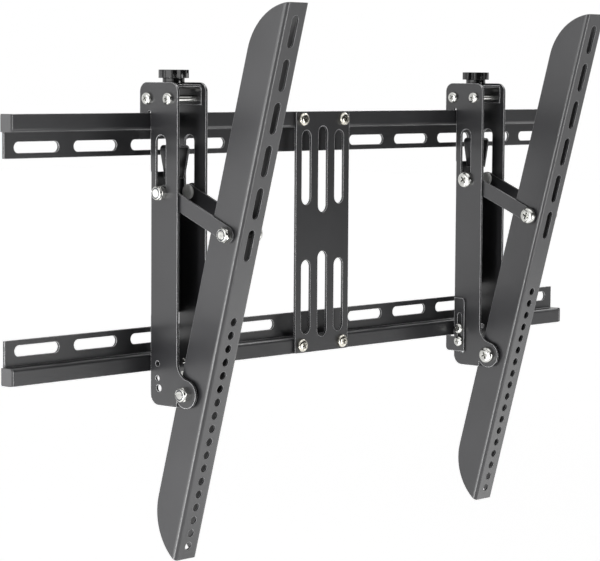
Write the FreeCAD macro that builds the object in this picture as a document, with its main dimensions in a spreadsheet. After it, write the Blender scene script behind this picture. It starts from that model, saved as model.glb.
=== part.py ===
import FreeCAD, Part
import math
import os
from types import SimpleNamespace

import Sketcher

# Tilting wall mount for a flat screen.
# Frame: the wall is the plane Y = 0, -Y points into the room, +Z is up, and the origin is the
# middle of the wall face, half way between the two rails.

# Driving dimensions, in millimetres (arm_tilt in degrees).
SIZES = {
    # wall rails: Z sections with a slotted wall flange, a web and a front lip
    "rail_length": 820.0,
    "rail_height": 40.0,
    "rail_depth": 14.0,
    "rail_sheet": 2.5,
    "rail_bend": 0.5,
    "lip_height": 16.0,
    "frame_height": 242.0,
    "wall_slot_length": 54.0,
    "wall_slot_width": 10.0,
    "wall_slot_pitch": 72.0,
    "wall_slot_end": 11.5,
    "wall_slot_rise": 10.0,
    # plastic caps in the rail ends
    "cap_flange": 2.4,
    "cap_plug": 12.0,
    "cap_wall": 1.6,
    "cap_corner": 1.5,
    "cap_fit": 0.15,
    "plug_corner": 1.2,
    # centre plate and its screws
    "plate_width": 80.0,
    "plate_sheet": 2.5,
    "plate_corner": 2.0,
    "plate_slot_width": 14.0,
    "plate_slot_pitch": 24.7,
    "plate_slot_short": 74.5,
    "plate_slot_long": 86.6,
    "plate_slot_short_middle": 65.0,
    "plate_slot_long_middle": 63.0,
    "plate_screw_pitch": 60.6,
    "plate_screw_below_top": 8.0,
    "plate_screw": 6.0,
    "plate_screw_head": 13.0,
    "plate_screw_head_rise": 4.6,
    "plate_nut_flats": 10.0,
    "plate_nut_rise": 5.0,
    "screw_clearance": 0.2,
    # brackets: folded U with hooks above and pivot lobes below
    "left_position": -220.7,
    "right_position": 237.3,
    "bracket_width": 40.0,
    "bracket_sheet": 2.5,
    "bracket_bend": 1.0,
    "bracket_front": 49.8,
    "bracket_rise": 28.5,
    "bracket_gap": 0.8,
    "web_top": 66.0,
    "web_drop": 68.0,
    "web_set_out": 1.2,
    "lower_set_back": 0.6,
    "top_corner": 9.0,
    "lower_corner": 10.5,
    "hook_gap": 0.4,
    "hook_seat": 0.3,
    "hook_drop": 11.5,
    "hook_wall_gap": 0.4,
    "hook_relief": 3.2,
    "hook_corner": 2.5,
    "pivot_out": 60.9,
    "pivot_below": 18.2,
    "lobe_radius": 13.2,
    "lobe_blend": 16.0,
    "slot_out": 28.3,
    "slot_width": 13.0,
    "slot_travel": 46.7,
    "slot_lead": 0.7,
    "spare_hole": 6.6,
    "spare_hole_out": 26.2,
    "spare_hole_below": 15.3,
    # bridge between the side plates, its rods and screws
    "bridge_sheet": 2.0,
    "bridge_length": 42.0,
    "bridge_below_top": 2.0,
    "bridge_leg": 19.0,
    "bridge_bend": 2.5,
    "bridge_out": 24.8,
    "rod_pitch": 27.6,
    "rod_below_top": 15.2,
    "rod_width": 6.5,
    "rod_screw": 4.0,
    "rod_screw_head": 11.5,
    "rod_screw_head_rise": 4.2,
    "rod_screw_reach": 8.0,
    "fit_gap": 0.05,
    # knob and adjusting screw
    "stem_width": 6.0,
    "stem_length": 76.0,
    "stem_fit": 0.08,
    "hub_width": 20.8,
    "hub_rise": 5.6,
    "knob_width": 28.4,
    "knob_rise": 7.8,
    "knob_notch": 9.0,
    "stem_nut_flats": 10.0,
    "stem_nut_rise": 5.0,
    "turn_gap": 0.3,
    # tilt carriage on the adjusting screw
    "carriage_top": 91.0,
    "carriage_rise": 31.0,
    "carriage_top_width": 25.5,
    "carriage_foot_width": 11.0,
    "carriage_sheet": 2.0,
    "carriage_depth": 16.0,
    "carriage_bend": 4.5,
    "carriage_out": 26.6,
    # tilting arm, in its own frame with the pivot at the origin
    "arm_tilt": 15.0,
    "arm_sheet": 2.0,
    "arm_bend": 2.0,
    "arm_depth": 36.1,
    "arm_fore": 23.4,
    "arm_up": 379.5,
    "arm_down": 159.5,
    "arm_end_radius": 56.0,
    "arm_slot_length": 30.0,
    "arm_slot_width": 8.5,
    "arm_slot_pitch": 40.1,
    "arm_slot_first": 352.3,
    "arm_hole": 8.0,
    "arm_hole_pitch": 13.18,
    "arm_hole_first": 78.0,
    # links and their bolts
    "link_up": 158.65,
    "link_fore": 9.46,
    "link_width": 15.0,
    "link_sheet": 2.0,
    "link_gap": 0.3,
    "bolt": 8.0,
    "bolt_fit": 0.05,
    "bolt_head": 17.0,
    "bolt_head_rise": 6.0,
    "bolt_disc": 14.0,
    "bolt_disc_rise": 2.4,
    "bolt_out": 29.6,
    "bolt_height": 46.8,
    "bolt_end": 0.4,
    "nut_flats": 13.0,
    "nut_hex_rise": 5.6,
    "nut_collar": 12.9,
    "nut_collar_rise": 2.4,
    "spacer_width": 17.0,
    # latch plate behind the lower rail's lip
    "latch_sheet": 2.0,
    "latch_front": 30.5,
    "latch_back": 17.0,
    "latch_rise": 57.5,
    "latch_foot": 15.7,
    "latch_gap": 0.3,
    "latch_lip_gap": 1.3,
    "latch_finger": 5.0,
    "latch_finger_drop": 3.5,
    "latch_corner": 4.0,
    "latch_slot_travel": 14.0,
    "latch_screw": 5.0,
    "latch_screw_head": 10.8,
    "latch_screw_head_rise": 3.8,
    "latch_screw_out": 24.4,
    "latch_screw_below": 6.1,
    "latch_screw_pitch": 13.7,
    "latch_screw_reach": 3.6,
    "latch_nut_flats": 8.0,
    "latch_nut_rise": 3.2,
}

WALL_SLOTS_PER_SIDE = 5
ARM_SLOTS = 6
ARM_HOLES = 18
KNOB_LOBES = 6
SIDES = {"left": -1, "right": 1}
AXIS_X = FreeCAD.Vector(1, 0, 0)
AXIS_Z = FreeCAD.Vector(0, 0, 1)
EDGE_TOLERANCE = 0.01


class Size:
    """A length or angle: its number, and the sheet formula that it comes from."""

    def __init__(self, text, value):
        self.text = text
        self.value = value

    def __add__(self, other):
        other = size_of(other)
        return Size(f"({self.text} + {other.text})", self.value + other.value)

    def __sub__(self, other):
        other = size_of(other)
        return Size(f"({self.text} - {other.text})", self.value - other.value)

    def __rsub__(self, other):
        return size_of(other) - self

    def __mul__(self, other):
        other = size_of(other)
        return Size(f"({self.text} * {other.text})", self.value * other.value)

    def __truediv__(self, other):
        other = size_of(other)
        return Size(f"({self.text} / {other.text})", self.value / other.value)

    def __neg__(self):
        return Size(f"(-1 * {self.text})", -self.value)

    __radd__ = __add__
    __rmul__ = __mul__


def size_of(number):
    """Take a plain number as a size, and leave a size as it is."""
    if isinstance(number, Size):
        return number
    return Size(f"({number})", float(number))


def sine(angle):
    """Sine of an angle in degrees."""
    return Size(f"sin({angle.text})", math.sin(math.radians(angle.value)))


def cosine(angle):
    """Cosine of an angle in degrees."""
    return Size(f"cos({angle.text})", math.cos(math.radians(angle.value)))


def root(area):
    """Square root."""
    return Size(f"sqrt({area.text})", math.sqrt(area.value))


def slope_angle(rise, run):
    """Angle in degrees of a slope with a positive run."""
    return Size(f"atan({rise.text} / {run.text})", math.degrees(math.atan(rise.value / run.value)))


def make_sheet(doc):
    """Write the driving dimensions to a sheet, and return them as sizes."""
    sheet = doc.addObject("Spreadsheet::Sheet", "sizes")
    for row, (name, number) in enumerate(SIZES.items(), start=1):
        sheet.set(f"A{row}", name)
        sheet.set(f"B{row}", str(number))
        sheet.setAlias(f"B{row}", name)
    doc.recompute()
    return SimpleNamespace(**{name: Size(f"sizes.{name}", number) for name, number in SIZES.items()})


def bind(feature, field, size):
    """Drive one field of a feature by a size's formula."""
    feature.setExpression(field, size_of(size).text)


def new_body(label):
    """Start a solid body."""
    return DOC.addObject("PartDesign::Body", label)


def origin_feature(body, role):
    """One of a body's own base planes or axes."""
    return next(item for item in body.Origin.OriginFeatures if item.Role == role)


def new_sketch(body, plane):
    """Start a sketch on one of the body's base planes: XY, XZ or YZ."""
    sketch = body.newObject("Sketcher::SketchObject", f"{body.Name}_sketch")
    sketch.AttachmentSupport = [(origin_feature(body, f"{plane}_Plane"), "")]
    sketch.MapMode = "FlatFace"
    return sketch


def fix_point(sketch, item, end, across, up):
    """Hold one point of a sketch at its two distances from the sketch's origin."""
    for kind, distance, axis in (("DistanceX", across, -2), ("DistanceY", up, -1)):
        distance = size_of(distance)
        if distance.value == 0:
            sketch.addConstraint(Sketcher.Constraint("PointOnObject", item, end, axis))
        else:
            number = sketch.addConstraint(Sketcher.Constraint(kind, -1, 1, item, end, distance.value))
            bind(sketch, f"Constraints[{number}]", distance)


def flat(across, up):
    """A point of a sketch."""
    return FreeCAD.Vector(size_of(across).value, size_of(up).value, 0)


def polygon(sketch, corners):
    """Draw a closed outline of straight lines through the corners."""
    first = sketch.GeometryCount
    count = len(corners)
    for index, corner in enumerate(corners):
        following = corners[(index + 1) % count]
        sketch.addGeometry(Part.LineSegment(flat(*corner), flat(*following)), False)
    for index, corner in enumerate(corners):
        after = first + (index + 1) % count
        sketch.addConstraint(Sketcher.Constraint("Coincident", first + index, 2, after, 1))
        fix_point(sketch, first + index, 1, *corner)


def circle(sketch, across, up, width):
    """Draw a circle of the given diameter."""
    radius = size_of(width) / 2
    item = sketch.addGeometry(Part.Circle(flat(across, up), AXIS_Z, radius.value), False)
    fix_point(sketch, item, 3, across, up)
    number = sketch.addConstraint(Sketcher.Constraint("Radius", item, radius.value))
    bind(sketch, f"Constraints[{number}]", radius)


def slot(sketch, across, up, length, width, upright):
    """Draw a slot with round ends, centred on a point, with its overall length."""
    reach = (size_of(length) - width) / 2
    radius = size_of(width) / 2
    if upright:
        ends = [(across, size_of(up) + reach), (across, size_of(up) - reach)]
        start = 0.0
    else:
        ends = [(size_of(across) - reach, up), (size_of(across) + reach, up)]
        start = math.pi / 2
    arcs = []
    for turn, centre in enumerate(ends):
        begin = start + turn * math.pi
        arc = Part.ArcOfCircle(Part.Circle(flat(*centre), AXIS_Z, radius.value), begin, begin + math.pi)
        arcs.append((sketch.addGeometry(arc, False), arc))
    (first, first_arc), (second, second_arc) = arcs
    side = sketch.addGeometry(Part.LineSegment(first_arc.EndPoint, second_arc.StartPoint), False)
    back = sketch.addGeometry(Part.LineSegment(second_arc.EndPoint, first_arc.StartPoint), False)
    for item, end, other, other_end in ((first, 2, side, 1), (side, 2, second, 1),
                                        (second, 2, back, 1), (back, 2, first, 1)):
        sketch.addConstraint(Sketcher.Constraint("Tangent", item, end, other, other_end))
    fix_point(sketch, first, 3, *ends[0])
    fix_point(sketch, second, 3, *ends[1])
    number = sketch.addConstraint(Sketcher.Constraint("Radius", first, radius.value))
    bind(sketch, f"Constraints[{number}]", radius)


def pad(body, sketch, length, both_ways=False, reverse=False):
    """Extrude a sketch into solid, one way or half each way."""
    feature = body.newObject("PartDesign::Pad", f"{body.Name}_pad")
    feature.Profile = sketch
    feature.SideType = "Symmetric" if both_ways else "One side"
    feature.Reversed = reverse
    bind(feature, "Length", length)
    DOC.recompute()
    return feature


def cut(body, sketch, length=None):
    """Cut a sketch out of the body, half of the length each way, or right through."""
    feature = body.newObject("PartDesign::Pocket", f"{body.Name}_cut")
    feature.Profile = sketch
    feature.SideType = "Symmetric"
    if length is None:
        feature.Type = "ThroughAll"
    else:
        bind(feature, "Length", length)
    DOC.recompute()
    return feature


def row_of(body, feature, sketch, axis, extent, count, reverse=False):
    """Repeat a feature along one axis of its sketch."""
    pattern = body.newObject("PartDesign::LinearPattern", f"{body.Name}_row")
    pattern.Originals = [feature]
    pattern.Direction = (sketch, [axis])
    pattern.Reversed = reverse
    pattern.Occurrences = count
    bind(pattern, "Length", extent)
    body.Tip = pattern
    DOC.recompute()
    return pattern


def edges_along(shape, axis, **place):
    """Names of the straight edges that run along an axis at the given coordinates."""
    names = []
    for number, edge in enumerate(shape.Edges, start=1):
        if edge.Curve.TypeId != "Part::GeomLine":
            continue
        run = edge.tangentAt(edge.FirstParameter)
        if abs(getattr(run, axis)) < 1 - EDGE_TOLERANCE:
            continue
        middle = edge.CenterOfMass
        if all(abs(getattr(middle, key) - size_of(at).value) < EDGE_TOLERANCE for key, at in place.items()):
            names.append(f"Edge{number}")
    return names


def round_edges(body, radius, axis, places):
    """Round the edges that run along an axis at each of the places."""
    base = body.Tip
    names = []
    for place in places:
        found = edges_along(base.Shape, axis, **place)
        if not found:
            raise RuntimeError(f"{body.Label}: no edge to round at {place}")
        names += found
    feature = body.newObject("PartDesign::Fillet", f"{body.Name}_round")
    feature.Base = (base, names)
    bind(feature, "Radius", radius)
    DOC.recompute()
    return feature


def place(body, x, y, z, turn_axis=None, turn=0):
    """Put a body at its place, turned about one axis."""
    turn = size_of(turn)
    rotation = FreeCAD.Rotation(turn_axis or AXIS_Z, turn.value)
    centre = FreeCAD.Vector(*(size_of(value).value for value in (x, y, z)))
    body.Placement = FreeCAD.Placement(centre, rotation)
    for field, value in (("x", x), ("y", y), ("z", z)):
        bind(body, f"Placement.Base.{field}", value)
    if turn.text != "(0)":
        bind(body, "Placement.Rotation.Angle", turn)
    return body


def turned(label, outline, axis="X"):
    """Turn a piece from an outline of (distance along the axis, radius) points."""
    body = new_body(label)
    if axis == "X":
        sketch = new_sketch(body, "XY")
        polygon(sketch, [(along, radius) for along, radius in outline])
        reference = "H_Axis"
    else:
        sketch = new_sketch(body, "XZ")
        polygon(sketch, [(radius, along) for along, radius in outline])
        reference = "V_Axis"
    feature = body.newObject("PartDesign::Revolution", f"{label}_turn")
    feature.Profile = sketch
    feature.ReferenceAxis = (sketch, [reference])
    feature.Angle = 360
    DOC.recompute()
    return body


def group(label, bodies):
    """Gather like pieces, each its own solid, under one name."""
    compound = DOC.addObject("Part::Compound", label)
    compound.Links = bodies
    NODES.append(compound)
    return compound


def keep(body):
    """List a body as a piece of the mount."""
    NODES.append(body)
    return body


def pan_screw(label, width, head, head_rise, reach):
    """Pan-head screw along X: the head stands out of X = 0, the shank runs back."""
    shoulder = head_rise * 0.55
    crown = head * 0.32
    return turned(label, [(-reach, 0), (-reach, width / 2), (0, width / 2), (0, head / 2),
                          (shoulder, head / 2), (head_rise, crown), (head_rise, 0)])


def hex_prism(body, flats, start, rise):
    """Add a hexagon along X to a body, from one distance along X."""
    corner = flats / math.sqrt(3)
    half = flats / 2
    sketch = new_sketch(body, "YZ")
    polygon(sketch, [(corner, 0), (corner / 2, half), (-corner / 2, half),
                     (-corner, 0), (-corner / 2, -half), (corner / 2, -half)])
    bind(sketch, "AttachmentOffset.Base.z", start)
    return pad(body, sketch, rise)


def lock_nut(label, bore):
    """Lock nut along X with its round collar."""
    body = new_body(label)
    hex_prism(body, S.nut_flats, size_of(0), S.nut_hex_rise)
    collar = new_sketch(body, "YZ")
    circle(collar, 0, 0, S.nut_collar)
    pad(body, collar, S.nut_hex_rise + S.nut_collar_rise)
    hole = new_sketch(body, "YZ")
    circle(hole, 0, 0, bore)
    cut(body, hole)
    return body


def plain_nut(label, flats, rise, bore):
    """Plain hexagon nut along X."""
    body = new_body(label)
    hex_prism(body, flats, size_of(0), rise)
    hole = new_sketch(body, "YZ")
    circle(hole, 0, 0, bore)
    cut(body, hole)
    return body


def plate_screw_height():
    """Height of the centre plate's screws above the middle, the same in the plate and the lips."""
    return S.frame_height / 2 - S.plate_screw_below_top


def wall_rail(label, up):
    """Z-section rail: slotted flange on the wall, web, and a lip; up is 1, or -1 for the mirrored rail."""
    outer = up * S.frame_height / 2
    fold = up * (S.frame_height / 2 - S.lip_height)
    web_back = up * (S.frame_height / 2 - S.lip_height + S.rail_sheet)
    free_edge = up * (S.frame_height / 2 - S.rail_height)
    front = -S.rail_depth
    lip_back = S.rail_sheet - S.rail_depth
    body = new_body(label)
    section = new_sketch(body, "YZ")
    polygon(section, [(front, outer), (lip_back, outer), (lip_back, web_back), (0, web_back),
                      (0, free_edge), (-S.rail_sheet, free_edge), (-S.rail_sheet, fold), (front, fold)])
    pad(body, section, S.rail_length, both_ways=True)
    round_edges(body, S.rail_bend, "x", [{"y": lip_back, "z": web_back}, {"y": -S.rail_sheet, "z": fold}])
    round_edges(body, S.rail_bend + S.rail_sheet, "x", [{"y": front, "z": fold}, {"y": 0, "z": web_back}])
    slot_height = up * (S.frame_height / 2 - S.rail_height + S.wall_slot_rise)
    first = S.rail_length / 2 - S.wall_slot_end - S.wall_slot_length / 2
    extent = S.wall_slot_pitch * (WALL_SLOTS_PER_SIDE - 1)
    for hand in SIDES.values():
        sketch = new_sketch(body, "XZ")
        slot(sketch, hand * first, slot_height, S.wall_slot_length, S.wall_slot_width, upright=False)
        feature = cut(body, sketch)
        row_of(body, feature, sketch, "H_Axis", extent, WALL_SLOTS_PER_SIDE, reverse=hand > 0)
    holes = new_sketch(body, "XZ")
    for hand in SIDES.values():
        circle(holes, hand * S.plate_screw_pitch / 2, up * plate_screw_height(),
               S.plate_screw + 2 * S.screw_clearance)
    cut(body, holes)
    return keep(body)


def end_cap(label, up, hand):
    """Plastic cap: a flange over the rail's end, and a hollow plug in its channel."""
    inner = S.rail_sheet + S.cap_fit
    top = S.frame_height / 2
    low = top - S.lip_height
    body = new_body(label)
    flange = new_sketch(body, "YZ")
    polygon(flange, [(-S.rail_depth, up * top), (-S.hook_wall_gap, up * top),
                     (-S.hook_wall_gap, up * low), (-S.rail_depth, up * low)])
    pad(body, flange, S.cap_flange, reverse=hand < 0)
    round_edges(body, S.cap_corner, "x", [{"y": -S.rail_depth, "z": up * top},
                                          {"y": -S.rail_depth, "z": up * low},
                                          {"y": -S.hook_wall_gap, "z": up * top}])
    plug = new_sketch(body, "YZ")
    front = inner - S.rail_depth
    back = -S.hook_wall_gap
    bottom = low + inner
    ceiling = top - S.cap_wall
    polygon(plug, [(front, up * bottom), (back, up * bottom), (back, up * ceiling), (front, up * ceiling)])
    pad(body, plug, S.cap_plug, reverse=hand > 0)
    round_edges(body, S.plug_corner, "x", [{"y": front, "z": up * bottom}])
    hollow = new_sketch(body, "YZ")
    low_wall = up * (bottom + S.cap_wall)
    high_wall = up * (ceiling - S.cap_wall)
    polygon(hollow, [(front + S.cap_wall, low_wall), (back - S.cap_wall, low_wall),
                     (back - S.cap_wall, high_wall), (front + S.cap_wall, high_wall)])
    feature = body.newObject("PartDesign::Pocket", f"{label}_hollow")
    feature.Profile = hollow
    feature.Reversed = hand < 0
    bind(feature, "Length", S.cap_plug)
    DOC.recompute()
    place(body, hand * S.rail_length / 2, 0, 0)
    return keep(body)


def centre_plate():
    """Flat plate on the front of both rails, with two groups of three upright slots."""
    body = new_body("centre_plate")
    half = S.plate_width / 2
    end = S.frame_height / 2
    sheet = new_sketch(body, "XZ")
    polygon(sheet, [(-half, -end), (half, -end), (half, end), (-half, end)])
    pad(body, sheet, S.plate_sheet)
    corners = [{"x": side * half, "z": up * end} for side in (-1, 1) for up in (-1, 1)]
    round_edges(body, S.plate_corner, "y", corners)
    slots = new_sketch(body, "XZ")
    for up in (-1, 1):
        for column in (-1, 0, 1):
            length = S.plate_slot_short if column else S.plate_slot_long
            height = S.plate_slot_short_middle if column else S.plate_slot_long_middle
            slot(slots, column * S.plate_slot_pitch, up * height, length, S.plate_slot_width, upright=True)
    cut(body, slots)
    holes = new_sketch(body, "XZ")
    for up in (-1, 1):
        for hand in (-1, 1):
            circle(holes, hand * S.plate_screw_pitch / 2, up * plate_screw_height(),
                   S.plate_screw + 2 * S.screw_clearance)
    cut(body, holes)
    place(body, 0, -S.rail_depth, 0)
    return keep(body)


def centre_fasteners():
    """Screws through the centre plate and the lips, and their nuts in the rail channels."""
    reach = S.plate_sheet + S.rail_sheet + S.plate_nut_rise + S.bolt_end
    screws = []
    nuts = []
    for up in (-1, 1):
        for hand in (-1, 1):
            x = hand * S.plate_screw_pitch / 2
            z = up * plate_screw_height()
            screw = pan_screw("plate_screw", S.plate_screw, S.plate_screw_head,
                              S.plate_screw_head_rise, reach)
            screws.append(place(screw, x, -S.rail_depth - S.plate_sheet, z, AXIS_Z, -90))
            nut = plain_nut("plate_nut", S.plate_nut_flats, S.plate_nut_rise, S.plate_screw + 2 * S.fit_gap)
            nuts.append(place(nut, x, S.rail_sheet - S.rail_depth, z, AXIS_Z, 90))
    group("centre_plate_screws", screws)
    group("centre_plate_nuts", nuts)


def pivot_drop():
    """Depth of the arms' pivots below the middle, measured from the lower rail's lip."""
    return S.frame_height / 2 + S.pivot_below


def arm_width():
    """Width of an arm, which leaves room for a link on each side of it in the bracket."""
    return S.bracket_width - 2 * (S.bracket_sheet + S.link_sheet + 2 * S.link_gap)


def latch_screw_drop():
    """Depth of the lower latch screw below the middle, measured from the lower rail's lip."""
    return S.frame_height / 2 + S.latch_screw_below


def bracket(label, x):
    """Folded U: hooked side plates with pivot lobes and bolt slots, and a back web between them."""
    top = S.frame_height / 2 + S.bracket_rise
    bottom = -pivot_drop() - S.lobe_radius
    front = -S.bracket_front
    upper_back = -S.rail_depth - S.bracket_gap
    lower_back = upper_back - S.lower_set_back
    back = upper_back + S.web_set_out
    seat = S.frame_height / 2 + S.hook_seat
    hook_front = S.rail_sheet + S.hook_gap - S.rail_depth
    hook_back = -S.hook_wall_gap
    hook_end = S.frame_height / 2 - S.hook_drop
    bend = S.bracket_bend + S.bracket_sheet
    plate_back = back - bend - S.bracket_bend
    half = S.bracket_width / 2
    body = new_body(label)
    # the bent middle, with round outer corners
    web = new_sketch(body, "YZ")
    web_end = plate_back - S.bracket_sheet
    polygon(web, [(back, -S.web_drop), (back, S.web_top), (web_end, S.web_top), (web_end, -S.web_drop)])
    pad(body, web, S.bracket_width, both_ways=True)
    round_edges(body, bend, "z", [{"x": hand * half, "y": back} for hand in (-1, 1)])
    # the side plates' outline, with the hooks above and the lobes below
    side = new_sketch(body, "YZ")
    polygon(side, [(hook_back, top), (front, top), (front, bottom), (lower_back, bottom),
                   (lower_back, -S.web_drop), (plate_back, -S.web_drop), (plate_back, S.web_top),
                   (upper_back, S.web_top), (upper_back, seat), (hook_front, seat),
                   (hook_front, hook_end), (hook_back, hook_end)])
    pad(body, side, S.bracket_width, both_ways=True)
    lobe = new_sketch(body, "YZ")
    circle(lobe, -S.pivot_out, -pivot_drop(), S.lobe_radius * 2)
    pad(body, lobe, S.bracket_width, both_ways=True)
    reach = S.pivot_out - S.bracket_front
    meet = root(S.lobe_radius * S.lobe_radius - reach * reach) - pivot_drop()
    round_edges(body, S.lobe_blend, "x", [{"y": front, "z": meet}])
    round_edges(body, S.top_corner, "x", [{"y": front, "z": top}, {"y": hook_back, "z": top}])
    round_edges(body, S.lower_corner, "x", [{"y": lower_back, "z": bottom}])
    round_edges(body, S.hook_corner, "x", [{"y": at, "z": hook_end} for at in (hook_back, hook_front)])
    # the room between the side plates, which leaves the back web
    inside = new_sketch(body, "YZ")
    web_front = back - S.bracket_sheet
    beyond = S.rail_depth
    far = -S.pivot_out * 2
    over = top + S.bracket_rise
    under = bottom - S.bracket_rise
    polygon(inside, [(far, under), (beyond, under), (beyond, -S.web_drop), (web_front, -S.web_drop),
                     (web_front, S.web_top), (beyond, S.web_top), (beyond, over), (far, over)])
    cut(body, inside, S.bracket_width - 2 * S.bracket_sheet)
    round_edges(body, S.bracket_bend, "z",
                [{"x": hand * (half - S.bracket_sheet), "y": web_front} for hand in (-1, 1)])
    openings = new_sketch(body, "YZ")
    length = S.slot_travel + S.slot_width
    middle = S.bolt_height + S.slot_lead + S.slot_travel / 2
    slot(openings, -S.slot_out, middle, length, S.slot_width, upright=True)
    circle(openings, -S.pivot_out, -pivot_drop(), S.bolt + 2 * S.bolt_fit)
    circle(openings, -S.spare_hole_out, -S.frame_height / 2 - S.spare_hole_below, S.spare_hole)
    for step in (0, 1):
        circle(openings, -S.latch_screw_out, step * S.latch_screw_pitch - latch_screw_drop(),
               S.latch_screw + 2 * S.fit_gap)
    for step in (-1, 1):
        circle(openings, step * S.rod_pitch / 2 - S.bridge_out, top - S.rod_below_top,
               S.rod_screw + 2 * S.screw_clearance)
    cut(body, openings)
    relief = new_sketch(body, "YZ")
    circle(relief, (upper_back + hook_front) / 2, seat, S.hook_relief)
    cut(body, relief)
    place(body, x, 0, 0)
    return keep(body)


def bridge(label, x):
    """Folded bridge between the side plates, which carries the adjusting screw."""
    top = S.frame_height / 2 + S.bracket_rise
    crown = top - S.bridge_below_top
    foot = crown - S.bridge_leg
    half = S.bracket_width / 2 - S.bracket_sheet - S.fit_gap
    inner = half - S.bridge_sheet
    body = new_body(label)
    section = new_sketch(body, "XZ")
    polygon(section, [(-half, foot), (-half, crown), (half, crown), (half, foot), (inner, foot),
                      (inner, crown - S.bridge_sheet), (-inner, crown - S.bridge_sheet), (-inner, foot)])
    pad(body, section, S.bridge_length, both_ways=True)
    round_edges(body, S.bridge_bend, "y",
                [{"x": hand * inner, "z": crown - S.bridge_sheet} for hand in (-1, 1)])
    round_edges(body, S.bridge_bend + S.bridge_sheet, "y",
                [{"x": hand * half, "z": crown} for hand in (-1, 1)])
    holes = new_sketch(body, "YZ")
    for step in (-1, 1):
        circle(holes, step * S.rod_pitch / 2, top - S.rod_below_top, S.rod_screw + 2 * S.screw_clearance)
    cut(body, holes)
    stem_hole = new_sketch(body, "XY")
    circle(stem_hole, 0, 0, S.stem_width + 2 * S.stem_fit)
    cut(body, stem_hole)
    place(body, x, -S.bridge_out, 0)
    return keep(body)


def bridge_fasteners(side, x):
    """Two spacer rods across the bridge, and a screw into each of their ends."""
    height = S.frame_height / 2 + S.bracket_rise - S.rod_below_top
    half = S.bracket_width / 2 - S.bracket_sheet - S.bridge_sheet - 2 * S.fit_gap
    bore = S.rod_screw + 2 * S.fit_gap
    rods = []
    screws = []
    for step in (-1, 1):
        y = step * S.rod_pitch / 2 - S.bridge_out
        rod = turned("spacer_rod", [(-half, bore / 2), (-half, S.rod_width / 2),
                                    (half, S.rod_width / 2), (half, bore / 2)])
        rods.append(place(rod, x, y, height))
        for hand in (-1, 1):
            reach = S.bracket_sheet + S.bridge_sheet + S.rod_screw_reach
            screw = pan_screw("rod_screw", S.rod_screw, S.rod_screw_head, S.rod_screw_head_rise, reach)
            face = x + hand * S.bracket_width / 2
            screws.append(place(screw, face, y, height, AXIS_Z, 0 if hand > 0 else 180))
    group(f"{side}_spacer_rods", rods)
    group(f"{side}_bridge_screws", screws)


def knob(side, x):
    """Lobed hand knob on a hub, its adjusting screw, and the lock nut under the bridge."""
    crown = S.frame_height / 2 + S.bracket_rise - S.bridge_below_top
    rest = crown + S.turn_gap
    body = new_body(f"{side}_knob")
    hub = new_sketch(body, "XY")
    circle(hub, 0, 0, S.hub_width)
    pad(body, hub, S.hub_rise)
    head = new_sketch(body, "XY")
    circle(head, 0, 0, S.knob_width)
    bind(head, "AttachmentOffset.Base.z", S.hub_rise)
    pad(body, head, S.knob_rise)
    notch = new_sketch(body, "XY")
    circle(notch, (S.knob_width + S.knob_notch * 0.45) / 2, 0, S.knob_notch)
    bind(notch, "AttachmentOffset.Base.z", S.hub_rise + S.knob_rise)
    feature = body.newObject("PartDesign::Pocket", f"{body.Name}_notch")
    feature.Profile = notch
    bind(feature, "Length", S.knob_rise)
    DOC.recompute()
    pattern = body.newObject("PartDesign::PolarPattern", f"{body.Name}_lobes")
    pattern.Originals = [feature]
    pattern.Axis = (origin_feature(body, "Z_Axis"), [""])
    pattern.Angle = 360
    pattern.Occurrences = KNOB_LOBES
    body.Tip = pattern
    DOC.recompute()
    socket = new_sketch(body, "XY")
    circle(socket, 0, 0, S.stem_width + 2 * S.fit_gap)
    feature = body.newObject("PartDesign::Pocket", f"{body.Name}_socket")
    feature.Profile = socket
    feature.Reversed = True
    bind(feature, "Length", S.hub_rise + S.knob_rise / 2)
    DOC.recompute()
    keep(place(body, x, -S.bridge_out, rest))
    tip = S.hub_rise + S.knob_rise / 2 - S.fit_gap
    stem = turned(f"{side}_adjusting_screw", [(-S.stem_length, 0), (-S.stem_length, S.stem_width / 2),
                                              (tip, S.stem_width / 2), (tip, 0)], axis="Z")
    keep(place(stem, x, -S.bridge_out, rest))
    nut = plain_nut(f"{side}_stem_nut", S.stem_nut_flats, S.stem_nut_rise, S.stem_width + 2 * S.fit_gap)
    under = crown - S.bridge_sheet - S.turn_gap
    keep(place(nut, x, -S.bridge_out, under, FreeCAD.Vector(0, 1, 0), 90))


def carriage(side, x):
    """Folded carriage on the adjusting screw, with legs that close in downwards."""
    top = S.carriage_top
    foot = top - S.carriage_rise
    half = S.carriage_top_width / 2
    half_foot = S.carriage_foot_width / 2
    lean = (half - half_foot) / S.carriage_rise
    leg = S.carriage_sheet * root(lean * lean + 1)
    under = top - S.carriage_sheet
    half_under = half - lean * S.carriage_sheet - leg
    body = new_body(f"{side}_tilt_carriage")
    section = new_sketch(body, "XZ")
    polygon(section, [(-half, top), (half, top), (half_foot, foot), (half_foot - leg, foot),
                      (half_under, under), (-half_under, under), (leg - half_foot, foot),
                      (-half_foot, foot)])
    pad(body, section, S.carriage_depth, both_ways=True)
    round_edges(body, S.carriage_bend, "y", [{"x": hand * half, "z": top} for hand in (-1, 1)])
    hole = new_sketch(body, "XY")
    circle(hole, 0, S.carriage_out - S.bridge_out, S.stem_width + 2 * S.stem_fit)
    cut(body, hole)
    keep(place(body, x, -S.carriage_out, 0))


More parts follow.
